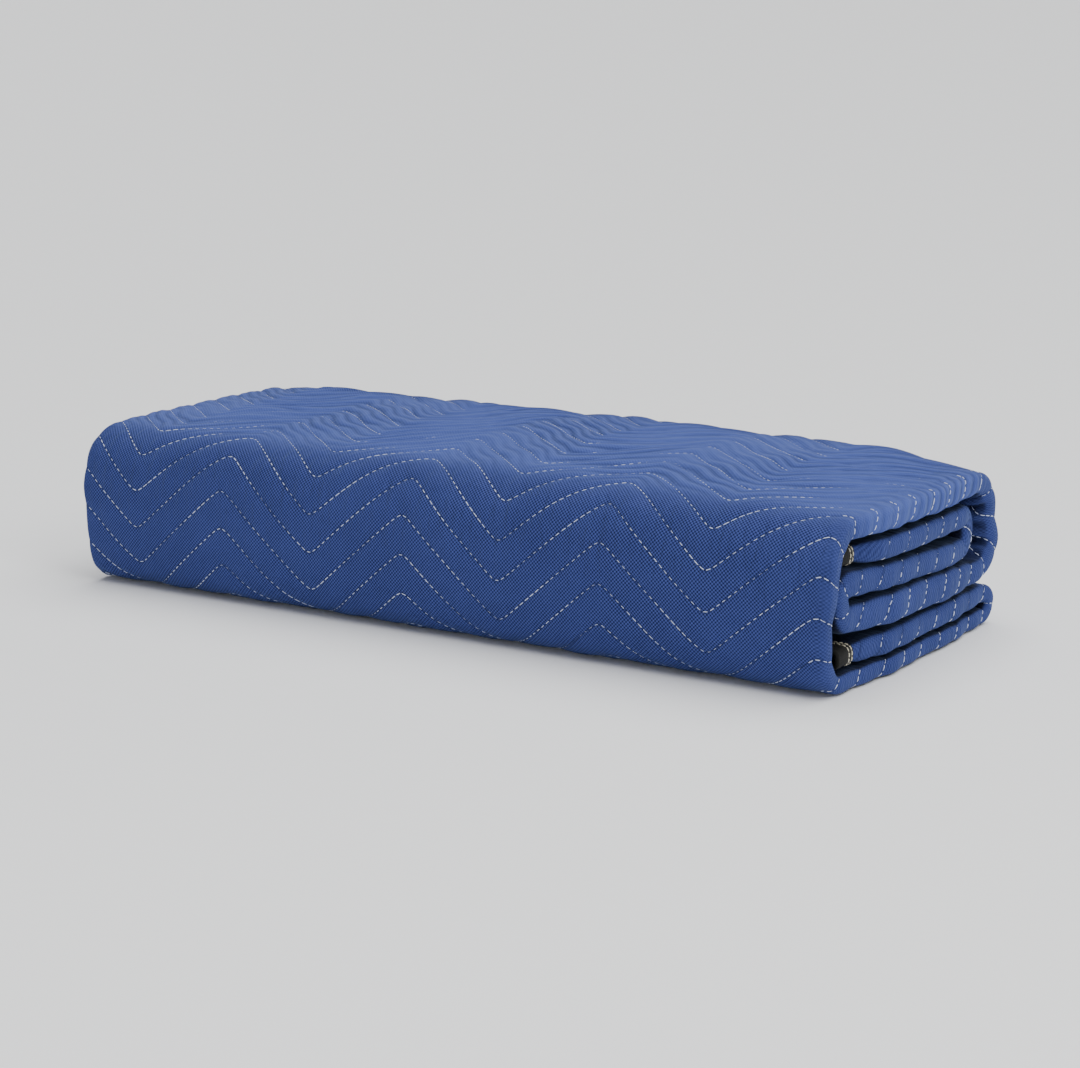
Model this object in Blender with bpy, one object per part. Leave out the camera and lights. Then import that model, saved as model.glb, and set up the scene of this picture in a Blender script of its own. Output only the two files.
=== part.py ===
"""A quilted moving blanket, folded in thirds and then into six layers, lying flat.

X runs along the long folded side, the smooth folded front faces -Y and +Z is up.
The cloth is one sheet. Across its width it is folded in thirds, so that each layer
is a flat roll of three sheets. Along its length that roll goes back and forth six times.
"""

from collections import namedtuple
from math import cos, pi, sin

import bmesh
import bpy
import numpy as np

# Driving dimensions, in metres
WIDTH = 0.677
CLOTH = 0.0044
BOUND_CLOTH = 0.0020
BINDING_REACH = 0.022
BINDING_SKIN = 0.0007
AIR_GAP = 0.0003
TAPER = 0.008

# Quilting: zigzag stitch lines along X, with soft ridges between them
LINE_SPACING = 0.0295
ZIGZAG_PERIOD = 0.1718
COLUMNS_PER_PERIOD = 10
FIRST_TROUGH_X = -0.2778
TROUGH_HEIGHT = 0.0509
QUILT_RELIEF = 0.0014

# The right ends are full, a little squarer than a half circle
END_POWER = 2.6

# Free edges inside the fold in thirds, and the unevenness of the lying cloth
EDGE_INSET_LEFT = 0.007
FIRST_EDGE_INSET = 0.012
LAST_EDGE_INSET = 0.008
EDGE_THINNER = 0.0013
DROOP = 0.0035
DROOP_START_X = 0.250
DROOP_STATION = 0.09
SWAY = 0.0018
BACK_EDGE = 0.14
SWAY_LENGTH_X = 0.62
SWAY_LENGTH_Y = 0.62
PUSH = 0.0011
PUSH_LENGTH = 0.55

# Mesh: fine steps in each station of a leg, and how close a plain row may come to a quilted one
FINE_STEPS = 12
ROW_ROOM = 0.006
QUILT_FROM_WRAP = 0.030
QUILT_COLUMNS = range(-2, 35)
PAST_THE_END = 9

Leg = namedtuple("Leg", "name shape stations half reach_right reach_left")
Straight = namedtuple("Straight", "z_from z_to y_from y_to")
Bend = namedtuple("Bend", "y_centre z_centre y_radius z_radius degrees_from degrees_to power")

# One row for each layer and each turn, in the order that the cloth runs.
# half is half the height of the roll of three sheets, and the reaches say how far
# its two ends stand out past (or, below zero, stay short of) half the width.
LEGS = [
    Leg("layer 2", Straight(0.0965, 0.0945, -0.1120, 0.079), 3, 0.0082, -0.001, -0.002),
    Leg("inner back turn", Bend(0.079, 0.08125, 0.0118, 0.01325, 90, -90, 2.0), 6, 0.0085, -0.006, -0.005),
    Leg("layer 3", Straight(0.0680, 0.0770, 0.079, -0.1015), 3, 0.0095, -0.002, 0.000),
    Leg("inner front turn", Bend(-0.1015, 0.06425, 0.0122, 0.01275, 90, 270, 2.0), 6, 0.0098, -0.008, -0.006),
    Leg("layer 4", Straight(0.0515, 0.0465, -0.1015, 0.102), 3, 0.0115, 0.000, -0.003),
    Leg("back wrap, lower", Bend(0.102, 0.072, 0.030, 0.0255, -90, 0, 2.0), 4, 0.0080, -0.004, -0.006),
    Leg("back wrap, upper", Bend(0.096, 0.072, 0.036, 0.0455, 0, 90, 2.5), 5, 0.0080, -0.005, -0.007),
    Leg("layer 1", Straight(0.1175, 0.1175, 0.096, -0.0875), 4, 0.0090, 0.000, 0.000),
    Leg("front spine, upper", Bend(-0.0875, 0.055, 0.045, 0.0625, 90, 180, 3.0), 6, 0.0076, -0.006, -0.004),
    Leg("front spine, lower", Bend(-0.1085, 0.055, 0.024, 0.0478, 180, 270, 3.0), 6, 0.0074, -0.009, -0.006),
    Leg("layer 6", Straight(0.0072, 0.0072, -0.1085, 0.11985), 3, 0.0072, -0.001, -0.001),
    Leg("back lower turn", Bend(0.11985, 0.01635, 0.00915, 0.00915, -90, 90, 2.0), 6, 0.0072, -0.005, -0.003),
    Leg("layer 5", Straight(0.0255, 0.0252, 0.11985, -0.1165), 3, 0.0088, -0.002, -0.002),
]


def signed_power(value, power):
    return np.sign(value) * abs(value) ** power


def draw(shape, pieces):
    """Points along a leg, as rows of y and z."""
    share = np.linspace(0, 1, pieces + 1)
    if isinstance(shape, Straight):
        y = shape.y_from + (shape.y_to - shape.y_from) * share
        return np.column_stack([y, shape.z_from + (shape.z_to - shape.z_from) * share])
    angle = np.radians(shape.degrees_from + (shape.degrees_to - shape.degrees_from) * share)
    y = shape.y_centre + shape.y_radius * signed_power(np.cos(angle), 2 / shape.power)
    z = shape.z_centre + shape.z_radius * signed_power(np.sin(angle), 2 / shape.power)
    return np.column_stack([y, z])


class Trail:
    """The middle line of the rolled cloth through all six layers, by its length v."""

    def __init__(self, legs):
        points = []
        corners = [0]
        self.stations = []
        for leg in legs:
            drawn = draw(leg.shape, leg.stations * FINE_STEPS)
            points.extend(drawn[:-1])
            corners.append(len(points))
        points.append(drawn[-1])
        self.points = np.array(points)
        steps = np.hypot(*np.diff(self.points, axis=0).T)
        self.v = np.concatenate([[0], np.cumsum(steps)])
        self.length = self.v[-1]
        self.leg_ends = self.v[corners]
        for leg, first in zip(legs, corners):
            self.stations.extend(self.v[first:first + leg.stations * FINE_STEPS:FINE_STEPS])
        self.stations.append(self.length)
        direction = np.gradient(self.points, self.v, axis=0)
        self.direction = direction / np.hypot(*direction.T)[:, None]
        first, last = legs[0], legs[-1]
        self.key_v = [0, BINDING_REACH]
        self.keys = {
            "half": [first.half - EDGE_THINNER] * 2,
            "reach_right": [first.reach_right - FIRST_EDGE_INSET] * 2,
            "reach_left": [first.reach_left] * 2,
        }
        for leg, start, end in zip(legs, self.leg_ends, self.leg_ends[1:]):
            for share in (0.25, 0.75):
                self.key_v.append(start + (end - start) * share)
                for column, values in self.keys.items():
                    values.append(getattr(leg, column))
        self.key_v += [self.length - BINDING_REACH, self.length]
        self.keys["half"] += [last.half - EDGE_THINNER] * 2
        self.keys["reach_right"] += [last.reach_right - LAST_EDGE_INSET] * 2
        self.keys["reach_left"] += [last.reach_left] * 2

    def value(self, column, v):
        return np.interp(v, self.key_v, self.keys[column])

    def frame(self, v):
        """Place, direction and outward direction at v, also a little past the two ends."""
        inside = min(max(v, 0), self.length)
        place = np.array([np.interp(inside, self.v, self.points[:, axis]) for axis in (0, 1)])
        along = np.array([np.interp(inside, self.v, self.direction[:, axis]) for axis in (0, 1)])
        along /= np.hypot(*along)
        outward = np.array([along[1], -along[0]])
        return place + (v - inside) * along, outward


TRAIL = Trail(LEGS)


def fold_in_thirds(station, v):
    """Centre and outer direction of the sheet in the roll's own section (x, height).

    station runs 0 to 1 along the left flap, to 2 round the left fold, to 3 along the
    base, to 4 round the right fold and to 5 along the right flap.
    """
    pitch = TRAIL.value("half", v) - CLOTH / 2
    right = WIDTH / 2 + TRAIL.value("reach_right", v) - pitch - CLOTH / 2
    left = -WIDTH / 2 - TRAIL.value("reach_left", v) + pitch / 2 + CLOTH / 2
    part = min(int(station), 4)
    share = station - part
    if part == 0:
        return (right + (left - right) * share, 0.0), (0.0, -1.0)
    if part == 1:
        turn = pi * (1 + share)
        outer = (sin(turn), -cos(turn - pi))
        return (left + pitch / 2 * outer[0], pitch / 2 + pitch / 2 * outer[1]), outer
    if part == 2:
        return (left + (right - left) * share, pitch), (0.0, 1.0)
    if part == 3:
        full = 2 / END_POWER
        across = signed_power(sin(pi * share), full)
        upward = signed_power(cos(pi * share), full)
        outer = np.array([signed_power(across, END_POWER - 1), signed_power(upward, END_POWER - 1)])
        return (right + pitch * across, pitch * upward), outer / np.hypot(*outer)
    end = left + EDGE_INSET_LEFT - pitch / 2
    return (right + (end - right) * share, -pitch), (0.0, -1.0)


def smooth_step(value):
    value = min(max(value, 0.0), 1.0)
    return value * value * (3 - 2 * value)


def settle(x, y, z):
    """The lying cloth droops at its right end and sways a little; its underside stays flat."""
    lift = z / TRAIL.points[:, 1].max()
    droop = DROOP * smooth_step((x - DROOP_START_X) / (WIDTH / 2 - DROOP_START_X))
    wave = SWAY * sin(2 * pi * x / SWAY_LENGTH_X + 0.7) * cos(2 * pi * y / SWAY_LENGTH_Y)
    corner = SWAY * (-2 * x / WIDTH) * max(y / BACK_EDGE, 0)
    push = PUSH * sin(2 * pi * x / PUSH_LENGTH + 1.9)
    return x, y + push * lift, z + lift * (wave + corner - droop)


def cloth_point(station, v, offset, x_given=None):
    """A point at a signed distance from the sheet's middle."""
    (x, height), outer = fold_in_thirds(station, v)
    if x_given is not None:
        x = x_given
    place, outward = TRAIL.frame(v)
    x += outer[0] * offset
    y, z = place + outward * (height + outer[1] * offset)
    return settle(x, y, max(z, 0.0))


def flap_length(station, v):
    """Distance along the sheet from its nearest free flap edge; large on the base."""
    if 1 <= station <= 4:
        return 1.0
    start, _ = fold_in_thirds(0 if station < 1 else 5, v)
    here, _ = fold_in_thirds(station, v)
    return abs(here[0] - start[0])


def half_cloth(station, v):
    """Half the cloth's thickness, pressed flat under the binding."""
    distance = min(v, TRAIL.length - v, flap_length(station, v))
    share = smooth_step((distance - BINDING_REACH - 2 * AIR_GAP) / TAPER)
    return (BOUND_CLOTH + (CLOTH - BOUND_CLOTH) * share) / 2


def station_at(part, distance):
    """Station on a flap at a distance from its free edge."""
    share = distance / WIDTH
    return share if part == 0 else 5 - share


def quilt_rows():
    """Lengths v of the rows of the quilting, half a stitch spacing apart on the outer face."""
    outside = []
    for v in TRAIL.v:
        place, outward = TRAIL.frame(v)
        outside.append(place + outward * TRAIL.value("half", v))
    outside = np.array(outside)
    outer_v = np.concatenate([[0], np.cumsum(np.hypot(*np.diff(outside, axis=0).T))])
    spine = (TRAIL.v > TRAIL.leg_ends[8]) & (TRAIL.v < TRAIL.leg_ends[10])
    trough = np.interp(-TROUGH_HEIGHT, -outside[spine, 1], outer_v[spine])
    first = np.interp(TRAIL.leg_ends[6] + QUILT_FROM_WRAP, TRAIL.v, outer_v)
    last = np.interp(TRAIL.leg_ends[10] - ROW_ROOM, TRAIL.v, outer_v)
    row = LINE_SPACING / 2
    numbers = range(int(np.ceil((first - trough) / row)), int((last - trough) / row) + 1)
    return {n: float(np.interp(trough + n * row, outer_v, TRAIL.v)) for n in numbers}


def fold_count(column):
    """How many rows a stitch line has risen at this column of the zigzag."""
    place = column % COLUMNS_PER_PERIOD
    return min(place, COLUMNS_PER_PERIOD - place)


def plain_stations():
    """Stations of a row of the sheet without quilting."""
    edges = [0, BINDING_REACH + 2 * AIR_GAP, BINDING_REACH + TAPER]
    middle = [0.25, 0.5, 0.75, 1 - DROOP_STATION]
    stations = [station_at(0, distance) for distance in edges]
    stations += [1 - share for share in reversed(middle)]
    stations += [1 + step / 6 for step in range(7)]
    stations += [2 + share for share in middle]
    stations += [3 + step / 7 for step in range(8)]
    stations += [5 - share for share in reversed(middle)]
    stations += [station_at(4, distance) for distance in reversed(edges)]
    return stations


def make_material(name, colour, roughness):
    material = bpy.data.materials.new(name)
    material.use_nodes = True
    shader = material.node_tree.nodes["Principled BSDF"]
    shader.inputs["Base Color"].default_value = (*colour, 1)
    shader.inputs["Roughness"].default_value = roughness
    return material


def add_object(name, mesh_builder, material):
    mesh = bpy.data.meshes.new(name)
    mesh_builder.faces.ensure_lookup_table()
    bmesh.ops.recalc_face_normals(mesh_builder, faces=mesh_builder.faces)
    mesh_builder.to_mesh(mesh)
    mesh_builder.free()
    mesh.materials.append(material)
    thing = bpy.data.objects.new(name, mesh)
    bpy.context.scene.collection.objects.link(thing)
    return thing


def fill_between(builder, lower, upper, rising):
    """Triangles between two rows of (station, column, vertex)."""
    a, b = 0, 0
    while a < len(lower) - 1 or b < len(upper) - 1:
        lower_next = lower[a + 1][0] if a < len(lower) - 1 else PAST_THE_END
        upper_next = upper[b + 1][0] if b < len(upper) - 1 else PAST_THE_END
        even = abs(lower_next - upper_next) < 1e-6
        column = lower[a][1]
        lower_first = lower_next < upper_next
        if even:
            lower_first = column is not None and rising(column)
        corners = [lower[a][2], upper[b][2]]
        if lower_first:
            a += 1
            corners.insert(1, lower[a][2])
        else:
            b += 1
            corners.append(upper[b][2])
        builder.faces.new(corners)


def make_panel(material):
    builder = bmesh.new()
    quilt = quilt_rows()
    quilted = {v: number for number, v in quilt.items()}
    low, high = min(quilted), max(quilted)
    margin = BINDING_REACH + 2 * AIR_GAP
    taper_end = BINDING_REACH + TAPER
    plain = [v for v in TRAIL.stations if not low - ROW_ROOM < v < high + ROW_ROOM]
    plain += [margin, taper_end, TRAIL.length - margin, TRAIL.length - taper_end]
    rows = sorted(set(plain) | set(quilted))
    step = ZIGZAG_PERIOD / COLUMNS_PER_PERIOD
    columns = {number: FIRST_TROUGH_X + number * step for number in QUILT_COLUMNS}

    def make_row(v, side):
        entries = [(station, None, None, 0.0) for station in plain_stations()]
        number = quilted.get(v)
        if side > 0 and number is not None:
            entries = [entry for entry in entries if not 2 < entry[0] < 3]
            edge_row = v in (low, high)
            for column, x in columns.items():
                valley = (number + fold_count(column)) % 2 == 0
                relief = 0.0 if edge_row else QUILT_RELIEF * (-1 if valley else 1)
                entries.append((2.5 + x / WIDTH, column, x, relief))
            entries.sort(key=lambda entry: entry[0])
        row = []
        for station, column, x, relief in entries:
            offset = side * half_cloth(station, v) + relief
            place = cloth_point(station, v, offset, x)
            row.append((station, column, builder.verts.new(place)))
        return row

    def rises(column):
        return fold_count(column + 1) > fold_count(column)

    outer = [make_row(v, 1) for v in rows]
    inner = [make_row(v, -1) for v in rows]
    for face in (outer, inner):
        for lower, upper in zip(face, face[1:]):
            fill_between(builder, lower, upper, rises)
    for end in (0, -1):
        for step in range(len(outer[end]) - 1):
            corners = [outer[end][step], outer[end][step + 1], inner[end][step + 1], inner[end][step]]
            builder.faces.new([corner[2] for corner in corners])
        for row in range(len(rows) - 1):
            corners = [outer[row][end], outer[row + 1][end], inner[row + 1][end], inner[row][end]]
            builder.faces.new([corner[2] for corner in corners])
    return add_object("quilted_panel", builder, material)


def binding_profile():
    """The binding's section round a cloth edge: distance into the cloth, distance from its middle."""
    inside = BOUND_CLOTH / 2 + AIR_GAP
    outside = inside + BINDING_SKIN
    front = -AIR_GAP
    return [
        (BINDING_REACH, outside), (front - BINDING_SKIN, outside),
        (front - BINDING_SKIN, -outside), (BINDING_REACH, -outside),
        (BINDING_REACH, -inside), (front, -inside), (front, inside), (BINDING_REACH, inside),
    ]


def make_strip(name, sections, material):
    """A closed strip through a list of sections, each a ring of points."""
    builder = bmesh.new()
    rings = [[builder.verts.new(point) for point in section] for section in sections]
    count = len(rings[0])
    for ring, following in zip(rings, rings[1:]):
        for step in range(count):
            after = (step + 1) % count
            builder.faces.new([ring[step], ring[after], following[after], following[step]])
    for ring in (rings[0], rings[-1]):
        builder.faces.new([ring[0], ring[1], ring[6], ring[7]])
        builder.faces.new([ring[1], ring[2], ring[5], ring[6]])
        builder.faces.new([ring[2], ring[3], ring[4], ring[5]])
    return add_object(name, builder, material)


def make_front_binding(name, at_start, material):
    """Binding over an edge that follows the fold in thirds."""
    sections = []
    for station in plain_stations():
        ring = []
        for depth, offset in binding_profile():
            v = depth if at_start else TRAIL.length - depth
            ring.append(cloth_point(station, v, offset))
        sections.append(ring)
    return make_strip(name, sections, material)


def make_inner_binding(name, part, material):
    """Binding over a flap's free edge, which follows all six layers."""
    ends = BINDING_REACH + AIR_GAP
    taper_end = BINDING_REACH + TAPER
    lengths = [ends, taper_end, TRAIL.length - taper_end, TRAIL.length - ends]
    quilt = list(quilt_rows().values())
    plain = [v for v in TRAIL.stations if not quilt[0] - ROW_ROOM < v < quilt[-1] + ROW_ROOM]
    lengths += [v for v in plain if taper_end < v < TRAIL.length - taper_end]
    lengths += quilt
    sections = []
    for v in sorted(lengths):
        ring = []
        for depth, offset in binding_profile():
            edge, _ = fold_in_thirds(0 if part == 0 else 5, v)
            x = edge[0] - depth if part == 0 else edge[0] + depth
            station = 0.0 if part == 0 else 5.0
            ring.append(cloth_point(station, v, offset, x))
        sections.append(ring)
    return make_strip(name, sections, material)


def centre(things):
    """Puts the middle of the whole blanket over the origin."""
    corners = np.array([vertex.co for thing in things for vertex in thing.data.vertices])
    middle = (corners.min(axis=0) + corners.max(axis=0)) / 2
    for thing in things:
        for vertex in thing.data.vertices:
            vertex.co.x -= middle[0]
            vertex.co.y -= middle[1]


for old in list(bpy.data.objects):
    bpy.data.objects.remove(old)

blue = make_material("quilted_cloth", (0.045, 0.085, 0.33), 0.9)
black = make_material("binding_tape", (0.012, 0.012, 0.014), 0.8)
blanket = [make_panel(blue)]
blanket.append(make_front_binding("binding_front_upper", True, black))
blanket.append(make_front_binding("binding_front_lower", False, black))
blanket.append(make_inner_binding("binding_inner_right", 0, black))
blanket.append(make_inner_binding("binding_inner_left", 4, black))
centre(blanket)
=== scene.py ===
from collections import namedtuple

import bmesh
import bpy
import numpy as np
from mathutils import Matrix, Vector


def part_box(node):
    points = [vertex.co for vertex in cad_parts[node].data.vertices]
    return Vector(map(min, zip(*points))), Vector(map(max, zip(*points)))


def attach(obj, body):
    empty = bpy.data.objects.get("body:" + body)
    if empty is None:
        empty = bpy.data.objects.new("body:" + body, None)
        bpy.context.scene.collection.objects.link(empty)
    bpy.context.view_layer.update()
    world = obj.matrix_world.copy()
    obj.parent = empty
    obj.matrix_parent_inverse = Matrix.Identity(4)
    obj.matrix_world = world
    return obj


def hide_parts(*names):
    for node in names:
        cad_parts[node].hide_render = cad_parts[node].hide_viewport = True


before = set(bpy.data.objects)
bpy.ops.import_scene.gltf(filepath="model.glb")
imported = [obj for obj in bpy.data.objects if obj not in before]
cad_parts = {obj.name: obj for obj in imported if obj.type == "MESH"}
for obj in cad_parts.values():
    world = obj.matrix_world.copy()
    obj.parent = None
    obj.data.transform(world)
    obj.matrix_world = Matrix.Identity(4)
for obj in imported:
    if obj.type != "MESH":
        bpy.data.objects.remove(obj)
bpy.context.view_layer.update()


# The quilted cloth is one blanket panel, 72 x 80 in flat, of woven cotton over a thin batt.
# It is folded in thirds across its width, and that flat roll of three sheets then goes back
# and forth in six layers. Zigzag stitch lines pull it in, and the cloth puffs up between them.
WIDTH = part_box("quilted_panel")[1][0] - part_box("quilted_panel")[0][0]
CLOTH = 0.0044
BOUND_CLOTH = 0.0020
BINDING_REACH = 0.022
BINDING_SKIN = 0.0007
AIR_GAP = 0.0003
TAPER = 0.008
LINE_SPACING = 0.0295
ZIGZAG_PERIOD = 0.1718
ZIGZAG_RISE = 0.068
ZIGZAG_SHARPNESS = 0.992
FIRST_TROUGH_X = -0.2778
TROUGH_HEIGHT = 0.0509
END_POWER = 4.0
EDGE_INSET_LEFT = 0.007
FIRST_EDGE_INSET = 0.012
LAST_EDGE_INSET = 0.008
EDGE_THINNER = 0.0013
DROOP = 0.0035
DROOP_START_X = 0.250
SWAY = 0.0018
SWAY_LENGTH = 0.62
SWAY_PHASE = 0.7
BACK_EDGE = 0.14
PUSH = 0.0011
PUSH_LENGTH = 0.55
PUSH_PHASE = 1.9
LOFT = 0.0055
LOFT_END_X = (0.245, 0.338)
LOFT_FRONT_Y = (-0.120, 0.020)
SEAM_DEPTH = 0.0011
CROWN_HEIGHT = 0.0008
PUFF_POWER = 2.3
END_FULLNESS = 0.7
RUMPLE = 0.0005
END_WAVE = 0.0007
END_WAVE_X = (0.27, 0.33)
LEFT_WAVE_SHARE = 0.6
RIGHT_ARC_SHARE = 1.05
LEFT_FOLD_MIDDLE = 1.5
BASE_MIDDLE = 2.5
RIGHT_FOLD_MIDDLE = 3.5
FLAP_FADE = (1.52, 1.56)
FLOOR_FADE = (0.008, 0.028)
FINE_STEPS = 24
end_margin = BINDING_REACH + 2 * AIR_GAP

Leg = namedtuple("Leg", "name shape half reach_right reach_left fullness")
Straight = namedtuple("Straight", "z_from z_to y_from y_to")
Bend = namedtuple("Bend", "y_centre z_centre y_radius z_radius degrees_from degrees_to power")

LEGS = [
    Leg("layer 2", Straight(0.0965, 0.0945, -0.1120, 0.079), 0.0082, -0.001, -0.002, 0.8),
    Leg("inner back turn", Bend(0.079, 0.08125, 0.0118, 0.01325, 90, -90, 2.0),
        0.0085, -0.006, -0.005, 0.8),
    Leg("layer 3", Straight(0.0680, 0.0770, 0.079, -0.1015), 0.0095, -0.002, 0.000, 0.8),
    Leg("inner front turn", Bend(-0.1015, 0.06425, 0.0122, 0.01275, 90, 270, 2.0),
        0.0098, -0.008, -0.006, 0.8),
    Leg("layer 4", Straight(0.0515, 0.0465, -0.1015, 0.102), 0.0115, 0.000, -0.003, 0.9),
    Leg("back wrap, lower", Bend(0.102, 0.072, 0.030, 0.0255, -90, 0, 2.0),
        0.0080, -0.004, -0.006, 1.0),
    Leg("back wrap, upper", Bend(0.096, 0.072, 0.036, 0.0455, 0, 90, 2.5),
        0.0080, -0.005, -0.007, 1.0),
    Leg("layer 1", Straight(0.1175, 0.1175, 0.096, -0.0875), 0.0090, 0.000, 0.000, 1.0),
    Leg("front spine, upper", Bend(-0.0875, 0.055, 0.045, 0.0625, 90, 180, 3.0),
        0.0076, -0.006, -0.004, 0.65),
    Leg("front spine, lower", Bend(-0.1085, 0.055, 0.024, 0.0478, 180, 270, 3.0),
        0.0074, -0.009, -0.006, 0.6),
    Leg("layer 6", Straight(0.0072, 0.0072, -0.1085, 0.11985), 0.0072, -0.001, -0.001, 0.7),
    Leg("back lower turn", Bend(0.11985, 0.01635, 0.00915, 0.00915, -90, 90, 2.0),
        0.0072, -0.005, -0.003, 0.8),
    Leg("layer 5", Straight(0.0255, 0.0252, 0.11985, -0.1165), 0.0088, -0.002, -0.002, 0.8),
]


def signed_power(value, power):
    return np.sign(value) * np.abs(value) ** power


def ramp(value, low, high):
    """0 below low and 1 above high, smooth between them."""
    share = np.clip((value - low) / (high - low), 0, 1)
    return share * share * (3 - 2 * share)


def draw(shape, pieces):
    share = np.linspace(0, 1, pieces + 1)
    if isinstance(shape, Straight):
        y = shape.y_from + (shape.y_to - shape.y_from) * share
        return np.column_stack([y, shape.z_from + (shape.z_to - shape.z_from) * share])
    angle = np.radians(shape.degrees_from + (shape.degrees_to - shape.degrees_from) * share)
    y = shape.y_centre + shape.y_radius * signed_power(np.cos(angle), 2 / shape.power)
    z = shape.z_centre + shape.z_radius * signed_power(np.sin(angle), 2 / shape.power)
    return np.column_stack([y, z])


drawn = [draw(leg.shape, 3 * FINE_STEPS) for leg in LEGS]
path = np.vstack([points[:-1] for points in drawn] + [drawn[-1][-1:]])
path_v = np.concatenate([[0], np.cumsum(np.hypot(*np.diff(path, axis=0).T))])
path_end = path_v[-1]
leg_ends = path_v[::3 * FINE_STEPS]
direction = np.gradient(path, path_v, axis=0)
direction /= np.hypot(*direction.T)[:, None]
quarters = [a + (b - a) * share for a, b in zip(leg_ends, leg_ends[1:]) for share in (0.25, 0.75)]
keys_v = np.array([0, BINDING_REACH, *quarters, path_end - BINDING_REACH, path_end])
keyed_legs = (LEGS[0], *LEGS, LEGS[-1])
keys = {name: np.repeat([getattr(leg, name) for leg in keyed_legs], 2) for name in Leg._fields[2:]}
keys["half"][[0, 1, -2, -1]] -= EDGE_THINNER
keys["reach_right"][:2] -= FIRST_EDGE_INSET
keys["reach_right"][-2:] -= LAST_EDGE_INSET
leg_start = {leg.name: v for leg, v in zip(LEGS, leg_ends)}


def leg_value(name, v):
    return np.interp(v, keys_v, keys[name])


def path_frame(v):
    """Place and outward direction in the (y, z) plane, also a little past the two ends."""
    inside = np.clip(v, 0, path_end)
    place = np.column_stack([np.interp(inside, path_v, path[:, axis]) for axis in (0, 1)])
    heading = np.column_stack([np.interp(inside, path_v, direction[:, axis]) for axis in (0, 1)])
    heading /= np.hypot(*heading.T)[:, None]
    outward = np.column_stack([heading[:, 1], -heading[:, 0]])
    return place + (v - inside)[:, None] * heading, outward


path_place, path_outward = path_frame(path_v)
outer_face = path_place + path_outward * leg_value("half", path_v)[:, None]
path_q = np.concatenate([[0], np.cumsum(np.hypot(*np.diff(outer_face, axis=0).T))])
on_spine = (path_v > leg_start["front spine, upper"]) & (path_v < leg_start["layer 6"])
trough_q = np.interp(-TROUGH_HEIGHT, -outer_face[on_spine, 1], path_q[on_spine])


def q_of(v):
    return np.interp(v, path_v, path_q)


def v_of(q):
    return np.interp(q, path_q, path_v)


def roll_ends(v):
    """Half the roll's sheet spacing, and x where the straight sheets meet the two end folds."""
    pitch = leg_value("half", v) - CLOTH / 2
    right = WIDTH / 2 + leg_value("reach_right", v) - pitch - CLOTH / 2
    left = -WIDTH / 2 - leg_value("reach_left", v) + pitch / 2 + CLOTH / 2
    return pitch, right, left


def fold_in_thirds(station, v):
    """Sheet's middle (x, height), its outer direction, and s, the place along the flat cloth."""
    pitch, right, left = roll_ends(v)
    part = np.minimum(station.astype(int), 4)
    share = station - part
    flap_end = left + EDGE_INSET_LEFT - pitch / 2
    left_arc = np.pi * pitch / 2
    right_arc = np.pi * pitch * RIGHT_ARC_SHARE
    across = signed_power(np.sin(np.pi * share), 2 / END_POWER)
    upward = signed_power(np.cos(np.pi * share), 2 / END_POWER)
    flat = np.zeros_like(v)
    one = np.ones_like(v)
    is_part = [part == number for number in range(5)]
    x = np.select(is_part, [right + (left - right) * share, left - pitch / 2 * np.sin(np.pi * share),
                            left + (right - left) * share, right + pitch * across,
                            right + (flap_end - right) * share])
    height = np.select(is_part, [flat, pitch / 2 - pitch / 2 * np.cos(np.pi * share), pitch,
                                 pitch * upward, -pitch])
    outer_x = np.select(is_part, [flat, -np.sin(np.pi * share), flat,
                                  signed_power(across, END_POWER - 1), flat])
    outer_h = np.select(is_part, [-one, -np.cos(np.pi * share), one,
                                  signed_power(upward, END_POWER - 1), -one])
    size = np.hypot(outer_x, outer_h)
    s = np.select(is_part, [left - left_arc - (x - left), left - left_arc * (1 - share), x,
                            right + right_arc * share, right + right_arc + right - x])
    return x, height, outer_x / size, outer_h / size, s


def station_of(s, v):
    """Station on the sheet for a place s along the flat cloth."""
    pitch, right, left = roll_ends(v)
    left_arc = np.pi * pitch / 2
    right_arc = np.pi * pitch * RIGHT_ARC_SHARE
    flap_end = left + EDGE_INSET_LEFT - pitch / 2
    return np.select(
        [s < left - left_arc, s < left, s < right, s < right + right_arc],
        [1 - (left - left_arc - s) / (right - left), 1 + (s - left + left_arc) / left_arc,
         2 + (s - left) / (right - left), 3 + (s - right) / right_arc],
        4 + (s - right - right_arc) / (right - flap_end))


def zigzag(s):
    """0 at a trough of the stitch lines and 1 at a peak, with slightly rounded tips."""
    wave = np.cos(2 * np.pi * (s - FIRST_TROUGH_X) / ZIGZAG_PERIOD)
    return 0.5 - np.arcsin(ZIGZAG_SHARPNESS * wave) / (2 * np.arcsin(ZIGZAG_SHARPNESS))


def seam_share(s, q):
    """0 on a stitch line and 1 halfway between two."""
    line = (q - trough_q + ZIGZAG_RISE * zigzag(s)) / LINE_SPACING
    return np.abs(line - np.round(line)) * 2


Wave = namedtuple("Wave", "size along across start")
RIDGE_WANDER = [
    Wave(0.70, 19.0, 8.0, 0.5),
    Wave(0.45, 41.0, -29.0, 1.3),
    Wave(0.20, 97.0, 61.0, 2.0),
]
END_RIPPLES = [Wave(1.0, 0, 76, 0.4), Wave(0.6, 0, 173, 1.1)]
RUMPLES = [Wave(1.0, 83, 31, 0.8), Wave(0.8, 37, -67, 0.0), Wave(0.5, 19, 151, 0.0)]
RIDGES_BETWEEN_SEAMS = 2.5
RIDGE_HEIGHT = 0.00042
top_from = float(q_of(leg_start["layer 1"]))
top_to = float(q_of(leg_start["front spine, upper"]))
top_back_fade = (top_from - 0.02, top_from + 0.02)
top_front_fade = (top_to - 0.01, top_to + 0.035)


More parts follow.
